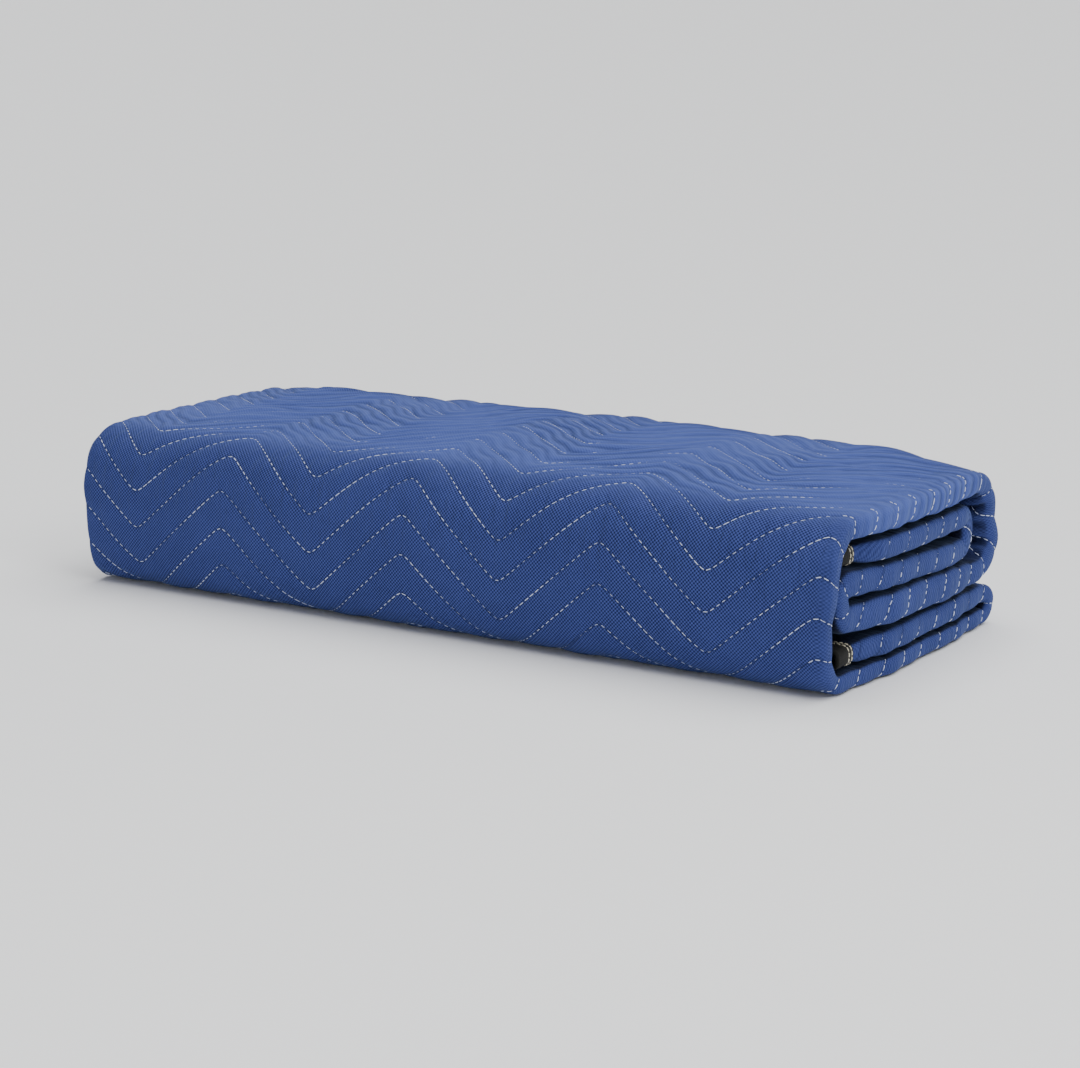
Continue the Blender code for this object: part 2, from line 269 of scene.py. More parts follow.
def waves(table, s, across):
    """Sum of a table's waves at a place along and across the cloth."""
    angles = [s * wave.along + across * wave.across + wave.start for wave in table]
    return sum(wave.size * np.sin(angle) for wave, angle in zip(table, angles))


def ridges_on_top(s, q, seam):
    """Fine ridges of slack cloth on the top, which run along the stitch lines and wander."""
    line = (q - trough_q + ZIGZAG_RISE * zigzag(s)) / LINE_SPACING
    top_share = ramp(q, *top_back_fade) * (1 - ramp(q, *top_front_fade))
    strength = 0.65 + 0.35 * np.sin(s * 23 + 1.0) * np.sin(q * 31)
    ridge = np.sin(2 * np.pi * (line * RIDGES_BETWEEN_SEAMS + waves(RIDGE_WANDER, s, q)))
    return RIDGE_HEIGHT * ridge * strength * top_share * np.minimum(seam * 3, 1)


def free_edge_distance(station, v):
    pitch, right, left = roll_ends(v)
    flap_end = left + EDGE_INSET_LEFT - pitch / 2
    from_flap = np.select([station < 1, station > 4],
                          [(right - left) * station, (right - flap_end) * (5 - station)], 1.0)
    return np.minimum(np.minimum(v, path_end - v), from_flap)


def settle(points):
    """The lying cloth lofts in its middle, droops at its right end and sways; its base is flat."""
    x, y, z = points.T
    lift = z / path[:, 1].max()
    droop = DROOP * ramp(x, DROOP_START_X, WIDTH / 2)
    sway = SWAY * np.sin(2 * np.pi * x / SWAY_LENGTH + SWAY_PHASE)
    sway *= np.cos(2 * np.pi * y / SWAY_LENGTH)
    corner = SWAY * (-2 * x / WIDTH) * np.maximum(y / BACK_EDGE, 0)
    push = PUSH * np.sin(2 * np.pi * x / PUSH_LENGTH + PUSH_PHASE)
    loft = LOFT * lift * (1 - ramp(np.abs(x), *LOFT_END_X)) * ramp(y, *LOFT_FRONT_Y)
    return np.column_stack([x, y + push * lift, z + lift * (sway + corner + loft - droop)])


Tuck = namedtuple("Tuck", "place slant height width reach")
WRAP_TUCKS = [
    Tuck(0.22, -1.5, 0.0060, 0.050, 0.045),
    Tuck(0.38, 1.2, 0.0100, 0.048, 0.060),
    Tuck(0.55, -0.8, 0.0120, 0.052, 0.070),
    Tuck(0.72, 1.8, 0.0095, 0.045, 0.050),
    Tuck(0.86, -1.0, 0.0050, 0.040, 0.040),
]
TUCK_START = (0.002, 0.012)
LIT_TUCK_HEIGHT = 0.008


def tucks(station, v):
    """Soft tucks of the slack inner sheet, which stand into the hollow of the back wrap."""
    wrap_start = leg_start["back wrap, lower"]
    share = (v - wrap_start) / (leg_start["layer 1"] - wrap_start)
    pitch, right, left = roll_ends(v)
    in_fold = (station - RIGHT_FOLD_MIDDLE) * np.pi * pitch
    along = np.where(station < 4, in_fold, np.pi * pitch / 2 + (station - 4) * WIDTH)
    total = np.zeros_like(v)
    for tuck in WRAP_TUCKS:
        crest = np.exp(-((share - tuck.place - tuck.slant * along) / tuck.width) ** 2)
        total += tuck.height * crest * (1 - ramp(along, tuck.reach * 0.4, tuck.reach * 1.4))
    return total * ramp(along, *TUCK_START)


def cloth_points(station, v, offset, x_shift=0.0):
    """Points at a signed distance from the sheet's middle."""
    x, height, outer_x, outer_h, s = fold_in_thirds(station, v)
    place, outward = path_frame(v)
    at_ends = ramp(x, *END_WAVE_X) - ramp(-x, *END_WAVE_X) * LEFT_WAVE_SHARE
    x = x + END_WAVE * waves(END_RIPPLES, s, v) * at_ends
    on_base = 1 - ramp(np.abs(station - BASE_MIDDLE), 0.42, 0.50)
    rumple = RUMPLE * waves(RUMPLES, s, v) * on_base * leg_value("fullness", v)
    height = height + rumple - tucks(station, v)
    flat = place + outward * (height + outer_h * offset)[:, None]
    flat[:, 1] = np.maximum(flat[:, 1], 0)
    return settle(np.column_stack([x + outer_x * offset + x_shift, flat]))


def half_cloth(station, v):
    """Half the cloth's thickness, pressed flat under the binding."""
    share = ramp(free_edge_distance(station, v), end_margin, end_margin + TAPER)
    return (BOUND_CLOTH + (CLOTH - BOUND_CLOTH) * share) / 2


def outer_relief(station, v, s, q):
    """How far the quilting lifts or draws in the cloth's outer face."""
    seam = seam_share(s, q)
    puff = 1 - (1 - seam) ** PUFF_POWER
    relief = -SEAM_DEPTH + (SEAM_DEPTH + CROWN_HEIGHT) * puff + ridges_on_top(s, q, seam)
    from_base = np.abs(station - BASE_MIDDLE)
    relief *= leg_value("fullness", v) * (1 - (1 - END_FULLNESS) * ramp(from_base, 0.47, 0.52))
    relief *= 1 - ramp(from_base, *FLAP_FADE)
    edge_distance = free_edge_distance(station, v)
    place, outward = path_frame(v)
    off_floor = ramp(place[:, 1], *FLOOR_FADE) + (1 - ramp(-outward[:, 1], 0, 1))
    relief = np.where(off_floor < 1, relief - CROWN_HEIGHT * (1 - off_floor), relief)
    return relief * ramp(edge_distance, BINDING_REACH + TAPER / 2, BINDING_REACH + TAPER * 1.5)


SAME_KEY = 1e-6


def fill_between(lower, upper, faces):
    """Faces between two rows of (key, vertex number), which may have different counts."""
    under, over = 0, 0
    row_end = float("inf")
    while under < len(lower) - 1 or over < len(upper) - 1:
        next_under = lower[under + 1][0] if under < len(lower) - 1 else row_end
        next_over = upper[over + 1][0] if over < len(upper) - 1 else row_end
        if abs(next_under - next_over) < SAME_KEY:
            faces.append((lower[under][1], lower[under + 1][1], upper[over + 1][1], upper[over][1]))
            under, over = under + 1, over + 1
        elif next_under < next_over:
            faces.append((lower[under][1], lower[under + 1][1], upper[over][1]))
            under += 1
        else:
            faces.append((lower[under][1], upper[over + 1][1], upper[over][1]))
            over += 1


CHANNEL_ROWS = (0, 0.04, 0.11, 0.22, 0.36, 0.5, 0.64, 0.78, 0.89, 0.96)
TOP_CHANNEL_ROWS = (0, 0.04, *np.arange(0.10, 0.91, 0.07), 0.96)
FINE_COLUMNS = np.arange(-0.318, 0.3165, 0.0047)
COARSE_COLUMNS = np.linspace(-0.29, 0.29, 9)
COLUMNS = {"fine": FINE_COLUMNS, "middle": FINE_COLUMNS[::2], "coarse": COARSE_COLUMNS}
LEFT_FLAP = (0.0, 0.0334, 0.039, 0.046, 0.09, 0.25, 0.5, 0.75, 0.9, 0.95, 0.975)
RIGHT_FLAP = (*LEFT_FLAP[:8], 0.86, 0.89, 0.91, 0.93, 0.945, 0.96, 0.972, 0.982, 0.992)
LEFT_STEPS = 14
RIGHT_STEPS = 20
SHEAR_RISE = 0.16
SHEAR_FALL = 0.12
MIDDLE_ROW = 0.006
COARSE_ROW = 0.0075
TURN_ROW = 0.0028
INNER_WRAP_ROW = 0.003
INNER_ROW = {Bend: 0.004, Straight: 0.012}
SEEN_SPARE = 0.010
ROW_GAP = 0.004
LAST_ROW_GAP = 0.033
NEAR_FOLD = np.array([0.008, 0.020])
LIT_RIGHT_FOLD = (0.26, 0.40)
LIT_LEFT_FOLD = (0.42, 0.52)
WRAP_BLUR = 0.008
TURN_BLUR = 0.012
WRAP_LIGHT = 0.25
CREST_LIGHT = 0.6
first_seen = leg_start["back wrap, lower"]
last_seen = leg_start["layer 5"]
seen_from = float(q_of(first_seen)) - SEEN_SPARE
seen_to = float(q_of(last_seen)) + ZIGZAG_RISE + SEEN_SPARE
first_channel = int(-trough_q / LINE_SPACING) - 1
channels = range(first_channel, int((path_q[-1] - trough_q) / LINE_SPACING) + 2)


def row_stations(v, grade):
    """Stations of one row of the sheet, close together where it is seen."""
    _, right, left = (float(value[0]) for value in roll_ends(np.array([v])))
    base = COLUMNS[grade]
    if grade == "coarse":
        base = np.concatenate([left + NEAR_FOLD, base, right - NEAR_FOLD[::-1]])
    left_part = np.array(LEFT_FLAP)
    left_fold = 1 + np.arange(LEFT_STEPS + 1) / LEFT_STEPS
    right_fold = 3 + np.arange(RIGHT_STEPS + 1) / RIGHT_STEPS
    right_part = 5 - np.array(RIGHT_FLAP)[::-1]
    stations = [left_part, left_fold, 2 + (base - left) / (right - left), right_fold, right_part]
    matched = [left_part, left_fold, BASE_MIDDLE + base / (2 * WIDTH), right_fold, right_part]
    return np.concatenate(stations), np.concatenate(matched)


def shear_strength(q):
    """The rows follow the zigzag where the outer sheet is seen, and run straight elsewhere."""
    return ramp(q, seen_from - SHEAR_RISE, seen_from) * (1 - ramp(q, seen_to, seen_to + SHEAR_FALL))


def gap_shade(station, v):
    """1 deep in a gap between two rolls, where no light comes, and 0 where the cloth is lit."""
    lit = 1 - ramp(np.abs(station - RIGHT_FOLD_MIDDLE), *LIT_RIGHT_FOLD)
    lit = np.maximum(lit, 1 - ramp(np.abs(station - LEFT_FOLD_MIDDLE), *LIT_LEFT_FOLD))
    wrap, base = leg_start["back wrap, lower"], leg_start["layer 6"]
    shown = ramp(v, wrap - WRAP_BLUR / 2, wrap + WRAP_BLUR / 2)
    shown *= 1 - ramp(v, base, base + WRAP_BLUR)
    turn_from, turn_to = leg_start["back lower turn"], leg_start["layer 5"]
    shown += ramp(v, turn_from - TURN_BLUR, turn_from) * (1 - ramp(v, turn_to, turn_to + TURN_BLUR))
    shade = (1 - lit) * np.where(station < RIGHT_FOLD_MIDDLE, 1 - shown, 1.0)
    place = (v - wrap) / (leg_start["layer 1"] - wrap)
    in_wrap = ramp(place, -0.05, 0.05) * (1 - ramp(place, 0.95, 1.05))
    # Painted light: inside the back wrap the painted shade is lessened, most on the tucks' crests.
    crest = np.clip(tucks(station, v) / LIT_TUCK_HEIGHT, 0, 1)
    wrap_shade = shade * (1 - in_wrap * (WRAP_LIGHT + CREST_LIGHT * crest))
    return np.where(station > RIGHT_FOLD_MIDDLE, wrap_shade, shade)


def add_row(v_row, side, grade):
    """One row of the sheet's outer or inner face; gives each vertex's key and number."""
    station, key = row_stations(v_row, grade)
    v = np.full_like(station, v_row)
    q = q_of(v)
    s = fold_in_thirds(station, v)[4]
    if side > 0:
        flap_fade = 1 - ramp(np.abs(station - BASE_MIDDLE), *FLAP_FADE)
        q = q - ZIGZAG_RISE * zigzag(s) * shear_strength(q) * flap_fade
        v = v_of(q)
    s = fold_in_thirds(station, v)[4]
    offset = side * half_cloth(station, v)
    if side > 0:
        offset = offset + outer_relief(station, v, s, q)
    first = len(vertices)
    vertices.extend(cloth_points(station, v, offset))
    vertex_flat.extend(zip(s, q))
    vertex_shade.extend(gap_shade(station, v))
    return [(float(k), first + number) for number, k in enumerate(key)]


vertices, vertex_flat, vertex_shade, faces = [], [], [], []
edge_rows = [0, end_margin, end_margin + TAPER * 0.5, end_margin + TAPER]
fixed_v = edge_rows + [path_end - v for v in edge_rows]
grades = {float(q_of(v)): "coarse" for v in fixed_v}
for k in channels:
    from_q = float(trough_q) + LINE_SPACING * k
    reaches_top = top_from - LINE_SPACING < from_q < top_to + ZIGZAG_RISE + LINE_SPACING / 2
    for share in TOP_CHANNEL_ROWS if reaches_top else CHANNEL_ROWS:
        q = from_q + LINE_SPACING * share
        if seen_from <= q <= seen_to:
            grades[q] = "fine"
for q in np.arange(seen_from - SHEAR_RISE - ROW_GAP, seen_from - ROW_GAP / 2, MIDDLE_ROW):
    grades[float(q)] = "middle"
middle_to = min(seen_to + SHEAR_FALL, path_q[-1] - LAST_ROW_GAP)
for q in np.arange(seen_to + ROW_GAP, middle_to, MIDDLE_ROW):
    grades[float(q)] = "middle"
coarse_to = seen_from - SHEAR_RISE - 2 * ROW_GAP
for q in np.arange(q_of(end_margin + TAPER) + ROW_GAP, coarse_to, COARSE_ROW):
    grades[float(q)] = "coarse"
inner_turn = (leg_start["inner back turn"] - ROW_GAP, leg_start["layer 3"] + ROW_GAP)
for v in np.arange(*inner_turn, TURN_ROW):
    grades[float(q_of(v))] = "coarse"

inner_v = set(fixed_v)
for leg, (start, stop) in zip(LEGS, zip(leg_ends, leg_ends[1:])):
    step = INNER_WRAP_ROW if "wrap" in leg.name else INNER_ROW[type(leg.shape)]
    inner_v.update(np.linspace(start, stop, int((stop - start) / step) + 2))
taper_from, taper_to = end_margin + TAPER, path_end - end_margin - TAPER
inner_v = sorted(v for v in inner_v if v in fixed_v or taper_from < v < taper_to)

outer_q = sorted(grades)
outer_rows = [add_row(float(v_of(q)), 1, grades[q]) for q in outer_q]
inner_rows = [add_row(v, -1, "coarse") for v in inner_v]
for rows in (outer_rows, inner_rows):
    for lower, upper in zip(rows, rows[1:]):
        fill_between(lower, upper, faces)
fill_between(outer_rows[0], inner_rows[0], faces)
fill_between(outer_rows[-1], inner_rows[-1], faces)
for end in (0, -1):
    outer_edge = [(float(v_of(q)), row[end][1]) for q, row in zip(outer_q, outer_rows)]
    inner_edge = [(v, row[end][1]) for v, row in zip(inner_v, inner_rows)]
    fill_between(outer_edge, inner_edge, faces)

cloth_corners = np.array(vertices)
cad_middle = np.array(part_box("quilted_panel")).mean(axis=0)
shift = cad_middle - (cloth_corners.min(axis=0) + cloth_corners.max(axis=0)) / 2
shift[2] = 0


def build_mesh(name, points, polygons, maps=None):
    """A smooth-shaded object, with values per vertex in its UV maps."""
    mesh = bpy.data.meshes.new(name)
    mesh.from_pydata([tuple(point) for point in points], [], polygons)
    builder = bmesh.new()
    builder.from_mesh(mesh)
    bmesh.ops.recalc_face_normals(builder, faces=builder.faces)
    builder.to_mesh(mesh)
    builder.free()
    mesh.shade_smooth()
    for map_name, values in (maps or {}).items():
        layer = mesh.uv_layers.new(name=map_name)
        corner_vertices = np.empty(len(mesh.loops), dtype=int)
        mesh.loops.foreach_get("vertex_index", corner_vertices)
        layer.data.foreach_set("uv", np.array(values)[corner_vertices].ravel())
    piece = bpy.data.objects.new(name, mesh)
    bpy.context.scene.collection.objects.link(piece)
    return piece


shade_map = [(shade, 0.0) for shade in vertex_shade]
cloth = build_mesh("quilted_cloth", cloth_corners + shift, faces,
                   {"flat_cloth": vertex_flat, "gap_shade": shade_map})


class Wire:
    """A shader socket that adds Math nodes as Python expressions are worked out."""

    def __init__(self, material, socket):
        self.material = material
        self.socket = socket

    def join(self, operation, *others):
        values = {number: value for number, value in enumerate((self, *others))}
        return self.material.node("ShaderNodeMath", {"operation": operation}, values)[0]

    def __add__(self, other):
        return self.join("ADD", other)

    def __radd__(self, other):
        return self.join("ADD", other)

    def __sub__(self, other):
        return self.join("SUBTRACT", other)

    def __rsub__(self, other):
        return self.join("MULTIPLY", -1.0).join("ADD", other)

    def __mul__(self, other):
        return self.join("MULTIPLY", other)

    def __rmul__(self, other):
        return self.join("MULTIPLY", other)


class Finish:
    """A material, with one method that adds any node to it."""

    def __init__(self, name):
        self.material = bpy.data.materials.new(name)
        self.material.use_nodes = True
        self.tree = self.material.node_tree
        self.tree.nodes.clear()

    def node(self, kind, settings=None, values=None):
        made = self.tree.nodes.new(kind)
        for setting, value in (settings or {}).items():
            if setting == "stops":
                made.color_ramp.elements[0].position, made.color_ramp.elements[0].color = value[0]
                made.color_ramp.elements[1].position, made.color_ramp.elements[1].color = value[-1]
                for position, colour in value[1:-1]:
                    made.color_ramp.elements.new(position).color = colour
            else:
                setattr(made, setting, value)
        for socket, value in (values or {}).items():
            if isinstance(value, Wire):
                self.tree.links.new(value.socket, made.inputs[socket])
            else:
                made.inputs[socket].default_value = value
        return [Wire(self, output) for output in made.outputs]

    def surface(self, **values):
        shader = self.node("ShaderNodeBsdfPrincipled", None, values)
        self.node("ShaderNodeOutputMaterial", None, {"Surface": shader[0]})
        return self.material


def blend_colours(finish, share, first, second):
    """Colour mixed from first to second."""
    inputs = {"Factor": share, 6: first, 7: second}
    return finish.node("ShaderNodeMix", {"data_type": "RGBA"}, inputs)[2]


def zone(finish, value, low, high):
    """Rises smoothly from 0 at low to 1 at high."""
    settings = {"interpolation_type": "SMOOTHSTEP"}
    return finish.node("ShaderNodeMapRange", settings, {0: value, 1: low, 2: high})[0]


def noise(finish, place, scale, detail):
    inputs = {"Vector": place, "Scale": scale, "Detail": detail}
    return finish.node("ShaderNodeTexNoise", None, inputs)[0]


def bump(finish, strength, distance, height):
    inputs = {"Strength": strength, "Distance": distance, "Height": height}
    return finish.node("ShaderNodeBump", None, inputs)[0]


DEEP_BLUE = (0.0030, 0.0082, 0.052, 1)
LIT_BLUE = (0.054, 0.081, 0.292, 1)
# A painted shade colour, used in the seam valleys and in the top's ridge valleys.
PAINTED_SHADE_BLUE = (0.004, 0.009, 0.045, 1)
# A painted light colour: the lighter blue that the top is mixed towards.
PAINTED_TOP_LIGHT_BLUE = (0.092, 0.140, 0.460, 1)
# A painted shade colour, near black, for the gaps between the rolls.
PAINTED_GAP_SHADE_BLUE = (0.0012, 0.002, 0.009, 1)
SEAM_SHADE_SHARE = 0.5
TOP_LIGHT_SHARE = 0.45
VALLEY_SHADE_SHARE = 0.42
GAP_SHADE_SHARE = 0.92
THREAD_PITCH = 0.0020
WEAVE_CONTRAST = 1.7
END_CONTRAST_LOSS = 1.2
PATCH_TONE = 0.35
MOTTLE_TONE = 0.25
FIBRE_TONE = 0.6
WEAVE_HEIGHT = 0.00016
END_WEAVE_LOSS = 0.00011
MOTTLE_HEIGHT = 0.0009
RIDGE_RELIEF = 0.0016
RIDGE_LOSS = 0.0002
PUCKER_PITCH = 0.0060
PUCKER_HEIGHT = 0.00022
WRINKLE = 0.0004
FRONT_WRINKLE = 0.0048
END_WRINKLE = 0.0016
END_FACE = (0.314, 0.328)
front_fade_in = (top_to + 0.005, top_to + 0.04)
front_fade_out = (top_to + 0.06, top_to + 0.12)

fabric = Finish("quilted_cotton")
uv = fabric.node("ShaderNodeUVMap", {"uv_map": "flat_cloth"})[0]
flat_s, flat_q, _ = fabric.node("ShaderNodeSeparateXYZ", None, {0: uv})
turn = 2 * np.pi
diagonal = turn / (THREAD_PITCH * 2 ** 0.5)
threads = ((flat_s + flat_q) * diagonal).join("SINE") + ((flat_s - flat_q) * diagonal).join("SINE")
weave = threads * 0.25 + 0.5
tip = ((flat_s - FIRST_TROUGH_X) * (turn / ZIGZAG_PERIOD)).join("COSINE")
rise = 0.5 - (tip * ZIGZAG_SHARPNESS).join("ARCSINE") * (0.5 / float(np.arcsin(ZIGZAG_SHARPNESS)))
line = (flat_q - float(trough_q) + rise * ZIGZAG_RISE) * (1 / LINE_SPACING)
from_seam = ((line + 0.5).join("FRACT") - 0.5).join("ABSOLUTE") * 2
patches = noise(fabric, uv, 9.0, 3.0)
mottle = noise(fabric, uv, 55.0, 4.0)
fibres = noise(fabric, uv, 1100.0, 2.0)
on_top = zone(fabric, flat_q, *top_back_fade) * (1 - zone(fabric, flat_q, *top_front_fade))
on_end = zone(fabric, flat_s.join("ABSOLUTE"), *END_FACE)
upper_front = zone(fabric, flat_q, *front_fade_in) * (1 - zone(fabric, flat_q, *front_fade_out))

tone = (weave - 0.5) * (WEAVE_CONTRAST - on_end * END_CONTRAST_LOSS) + 0.5
tone = tone + (patches - 0.5) * PATCH_TONE + (mottle - 0.5) * MOTTLE_TONE
tone = tone + (fibres - 0.5) * FIBRE_TONE
cloth_colour = blend_colours(fabric, tone.join("MAXIMUM", 0.0), DEEP_BLUE, LIT_BLUE)
# Painted shade: the cloth is darkened in the valley beside each stitch line.
seam_valley_shade = (1 - from_seam * 7).join("MAXIMUM", 0.0)
cloth_colour = blend_colours(fabric, seam_valley_shade * SEAM_SHADE_SHARE, cloth_colour, PAINTED_SHADE_BLUE)
# Painted light: the top is mixed towards a lighter blue, as if lit from overhead with sheen at a
# grazing view.
cloth_colour = blend_colours(fabric, on_top * TOP_LIGHT_SHARE, cloth_colour, PAINTED_TOP_LIGHT_BLUE)

phase = line * RIDGES_BETWEEN_SEAMS
for wave in RIDGE_WANDER:
    angle = flat_s * wave.along + flat_q * wave.across + wave.start
    phase = phase + angle.join("SINE") * wave.size
along_ridges = (phase * turn).join("SINE")
# Painted shade: the valleys between the fine ridges on the top are darkened.
valley = (0.1 - along_ridges).join("MAXIMUM", 0.0) * zone(fabric, patches, 0.3, 0.6) * on_top
cloth_colour = blend_colours(fabric, valley * VALLEY_SHADE_SHARE, cloth_colour, PAINTED_SHADE_BLUE)
# Painted shade: the cloth is darkened to near black in the gaps between the rolls and inside the back
# wrap, as given per vertex by the gap_shade map.
shade_uv = fabric.node("ShaderNodeUVMap", {"uv_map": "gap_shade"})[0]
in_gap = fabric.node("ShaderNodeSeparateXYZ", None, {0: shade_uv})[0]
cloth_colour = blend_colours(fabric, in_gap * GAP_SHADE_SHARE, cloth_colour, PAINTED_GAP_SHADE_BLUE)

ridges = along_ridges * on_top * (patches * RIDGE_RELIEF - RIDGE_LOSS)
puckers = ((flat_s + mottle * 0.012) * (turn / PUCKER_PITCH)).join("SINE")
puckers = puckers * (1 - from_seam * 1.5).join("MAXIMUM", 0.0) * PUCKER_HEIGHT
stretched = fabric.node("ShaderNodeCombineXYZ", None, {0: flat_s * 170.0, 1: flat_q * 34.0})[0]
wrinkles = (noise(fabric, stretched, 1.0, 3.0) - 0.5) * (upper_front * FRONT_WRINKLE + WRINKLE)
round_fold = fabric.node("ShaderNodeCombineXYZ", None, {0: flat_s * 45.0, 1: flat_q * 210.0})[0]
end_wrinkles = (noise(fabric, round_fold, 1.0, 3.0) - 0.5) * on_end * END_WRINKLE
height = weave * (WEAVE_HEIGHT - on_end * END_WEAVE_LOSS) + mottle * MOTTLE_HEIGHT
height = height + ridges + puckers + wrinkles + end_wrinkles
fabric_finish = fabric.surface(**{
    "Base Color": cloth_colour,
    "Roughness": weave * -0.1 + 0.92,
    "Normal": bump(fabric, 0.8, 1.0, height),
    "Specular IOR Level": 0.2,
    "Sheen Weight": 0.12,
    "Sheen Roughness": 0.4,
    "Sheen Tint": (0.36, 0.56, 1.0, 1),
})
cloth.data.materials.append(fabric_finish)
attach(cloth, "root")
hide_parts("quilted_panel")


# The zigzag quilting is machine sewn with a pale lavender thread, about 0.7 mm thick. Each
# stitch lies in the valley that it pulls into the cloth, with a short gap to the next.
STITCH = 0.0044
STITCH_GAP = 0.0014
LINE_STAGGER = 0.0011
SEAM_STEP = 0.0004
SEAM_END = 0.40
EDGE_SPARE = 0.002
SEWN_SPARE = 0.02
TOP_SPARE = 0.01
LEFT_SEWN = 0.035
RIGHT_SEWN = 0.065
END_SEWN = 0.03
LIP_REACH = 0.004
FEWEST_POINTS = 30
STITCH_ARCH = ((0.0, -0.7, 0.55), (0.22, 0.25, 1.0), (0.78, 0.25, 1.0), (1.0, -0.7, 0.55))
A_LITTLE = 0.0005
THREAD_RADIUS = 0.00036
THREAD_SUNK = 0.00032
TOP_THREAD_SUNK = 0.00020
END_THREAD_PROUD = 0.00018
STITCH_SIDES = 4
HIDDEN_SHADE = 0.75


def sew(starts, ends, ups, radius):
    """Vertices and faces of many short stitches, each a low arch with closed ends."""
    along = ends - starts
    length = np.linalg.norm(along, axis=1)[:, None]
    along = along / length
    side = np.cross(along, ups)
    side /= np.linalg.norm(side, axis=1)[:, None]
    up = np.cross(side, along)
    angles = 2 * np.pi * np.arange(STITCH_SIDES) / STITCH_SIDES
    spokes = [side * np.cos(angle) + up * np.sin(angle) for angle in angles]
    rings = []
    for share, lift, thick in STITCH_ARCH:
        middle = starts + along * length * share + up * radius * lift
        rings.append(np.stack([middle + radius * thick * spoke for spoke in spokes], axis=1))
    corners = np.stack(rings, axis=1).reshape(-1, 3)
    pattern = []
    for ring in range(3):
        for step in range(STITCH_SIDES):
            after = (step + 1) % STITCH_SIDES
            low, high = ring * STITCH_SIDES, (ring + 1) * STITCH_SIDES
            pattern.append((low + step, low + after, high + after, high + step))
    pattern.append(tuple(range(STITCH_SIDES))[::-1])
    pattern.append(tuple(range(3 * STITCH_SIDES, 4 * STITCH_SIDES)))
    polygons = []
    for number in range(len(starts)):
        base = number * 4 * STITCH_SIDES
        polygons.extend(tuple(base + corner for corner in face) for face in pattern)
    return corners, polygons


def surface_up(station, v, offset):
    """Outward direction of the cloth's outer face."""
    up = cloth_points(station, v, offset + A_LITTLE) - cloth_points(station, v, offset)
    return up / np.linalg.norm(up, axis=1)[:, None]


starts, ends, ups = [], [], []
sewn_from, sewn_to = first_seen - SEWN_SPARE, last_seen + SEWN_SPARE
top_end = leg_start["front spine, upper"] + TOP_SPARE
sewn_margin = end_margin + EDGE_SPARE
for k in channels:
    s = np.arange(-SEAM_END, SEAM_END, SEAM_STEP)
    q = trough_q + LINE_SPACING * k - ZIGZAG_RISE * zigzag(s)
    inside = (q > q_of(sewn_margin)) & (q < q_of(path_end - sewn_margin))
    s, q = s[inside], q[inside]
    if len(s) < FEWEST_POINTS:
        continue
    v = v_of(q)
    _, right, left = roll_ends(v)
    near_end = (s > right - END_SEWN) | (s < left + END_SEWN)
    visible = (s > left - LEFT_SEWN) & (s < right + RIGHT_SEWN)
    visible &= ((v > sewn_from) & (v < sewn_to)) | near_end
    station = station_of(s, v)
    shade = gap_shade(station, v)
    offset = half_cloth(station, v) + outer_relief(station, v, s, q)
    points = cloth_points(station, v, offset)
    up = surface_up(station, v, offset)
    length = np.concatenate([[0], np.cumsum(np.linalg.norm(np.diff(points, axis=0), axis=1))])
    step = STITCH + STITCH_GAP
    for number in range(int(length[-1] / step)):
        at = number * step + LINE_STAGGER * (k % 5)
        loose = 0.5 + 0.5 * np.sin(number * 0.37 + k * 2.1) * np.sin(number * 0.093 + k * 1.3)
        long = STITCH + STITCH_GAP * (1.1 * loose ** 3 - 0.3)
        pick = np.searchsorted(length, (at, at + long / 2, at + long))
        if pick[2] >= len(s) or pick[0] == pick[2] or not visible[pick].all():
            continue
        if s[pick[2]] - s[pick[0]] > STITCH * 1.5 or shade[pick[1]] > HIDDEN_SHADE:
            continue
        sunk = THREAD_SUNK * (1 - loose)
        if s[pick[1]] > right[pick[1]] - LIP_REACH:
            sunk = -END_THREAD_PROUD
        elif first_seen < v[pick[1]] < top_end:
            sunk = TOP_THREAD_SUNK
        starts.append(points[pick[0]] - up[pick[1]] * sunk)
        ends.append(points[pick[2]] - up[pick[1]] * sunk)
        ups.append(up[pick[1]])
corners, polygons = sew(np.array(starts), np.array(ends), np.array(ups), THREAD_RADIUS)
quilting = build_mesh("quilting_stitches", corners + shift, polygons)

THREAD_PALE = (0.78, 0.84, 1.0, 1)
THREAD_SHADE = (0.36, 0.43, 0.74, 1)


def thread_finish(name, pale, shade):
    finish = Finish(name)
    places = finish.node("ShaderNodeTexCoord")[3]
    twist = noise(finish, places, 1400.0, 2.0)
    wear = noise(finish, places, 60.0, 2.0)
    colour = blend_colours(finish, (twist * 0.6 + wear * 0.5).join("MINIMUM", 1.0), shade, pale)
    return finish.surface(**{
        "Base Color": colour, "Roughness": 0.65, "Normal": bump(finish, 0.5, 0.0004, twist),
        "Sheen Weight": 0.3, "Specular IOR Level": 0.35,
    })


quilting.data.materials.append(thread_finish("lavender_thread", THREAD_PALE, THREAD_SHADE))
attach(quilting, "root")


# The edges are bound with black woven tape, folded over the raw edge and sewn through with two
# rows of cream thread. Two tapes follow the thirds at the front of layers 2 and 5, and two
# follow all six layers along the flaps' free edges, one inside the right end, one near the left.
TAPE_ROWS = (0.0155, 0.0198)
TAPE_STITCH = 0.0034
TAPE_THREAD_RADIUS = 0.00048
TAPE_THREAD_LIFT = 0.0003
TAPE_GAP = 0.0007
TAPE_BULGE = 1.06
TAPE_NOSE = 0.9
FIRST_TAPE_STITCH = 0.003
TAPE_ROW_SPARE = 0.004
FRONT_STATIONS = np.concatenate([
    [0.0, 0.0334, 0.09, 0.25, 0.5, 0.75, 0.9, 0.97],
    1 + np.arange(14) / 14,
    2 + np.linspace(0, 1, 40, endpoint=False),
    3 + np.arange(22) / 22,
    4 + np.linspace(0, 0.12, 6, endpoint=False),
    [4.2, 4.4, 4.6, 4.8, 4.95, 5.0],
])


